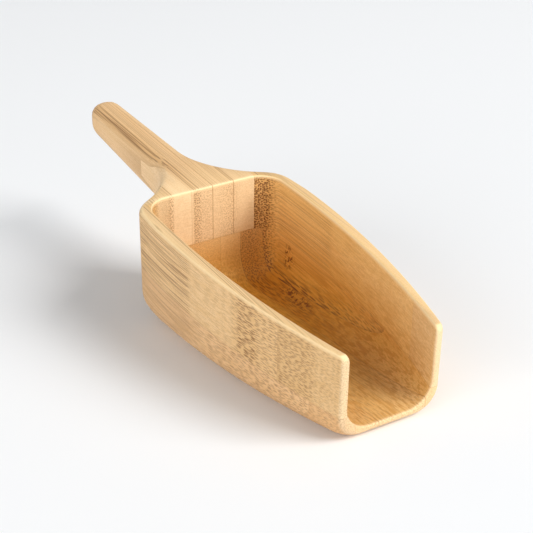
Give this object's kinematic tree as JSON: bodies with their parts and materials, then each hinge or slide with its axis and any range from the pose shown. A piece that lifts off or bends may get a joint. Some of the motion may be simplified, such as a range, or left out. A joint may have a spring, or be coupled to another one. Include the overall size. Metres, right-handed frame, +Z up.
{
  "type": "scoop",
  "caption": "Bamboo scoop carved from glued upright strips, with an open-mouthed bowl for dry goods and a straight handle level with its rim.",
  "frame": {"origin": "on the flat sole under the bowl, halfway across", "axes": "+Z up, +Y from the mouth towards the handle, +X to the right when looking along the handle from the mouth"},
  "size_m": [0.0558, 0.1942, 0.0513],
  "materials": {
    "upper_bamboo": "satin oiled bamboo",
    "lower_bamboo": "satin oiled bamboo"
  },
  "bodies": {
    "root": {"upper_stave_1": "upper_bamboo", "upper_stave_2_wall": "upper_bamboo", "upper_stave_2_shoulder": "upper_bamboo", "upper_stave_3_shoulder": "upper_bamboo", "upper_stave_4_handle": "upper_bamboo", "upper_stave_5_handle": "upper_bamboo", "upper_stave_6_shoulder": "upper_bamboo", "upper_stave_6_wall": "upper_bamboo", "upper_stave_7": "upper_bamboo", "lower_stave_1": "lower_bamboo", "lower_stave_2": "lower_bamboo", "lower_stave_3": "lower_bamboo", "lower_stave_4": "lower_bamboo", "lower_stave_5": "lower_bamboo", "lower_stave_6": "lower_bamboo", "lower_stave_7": "lower_bamboo"}
  },
  "joints": []
}
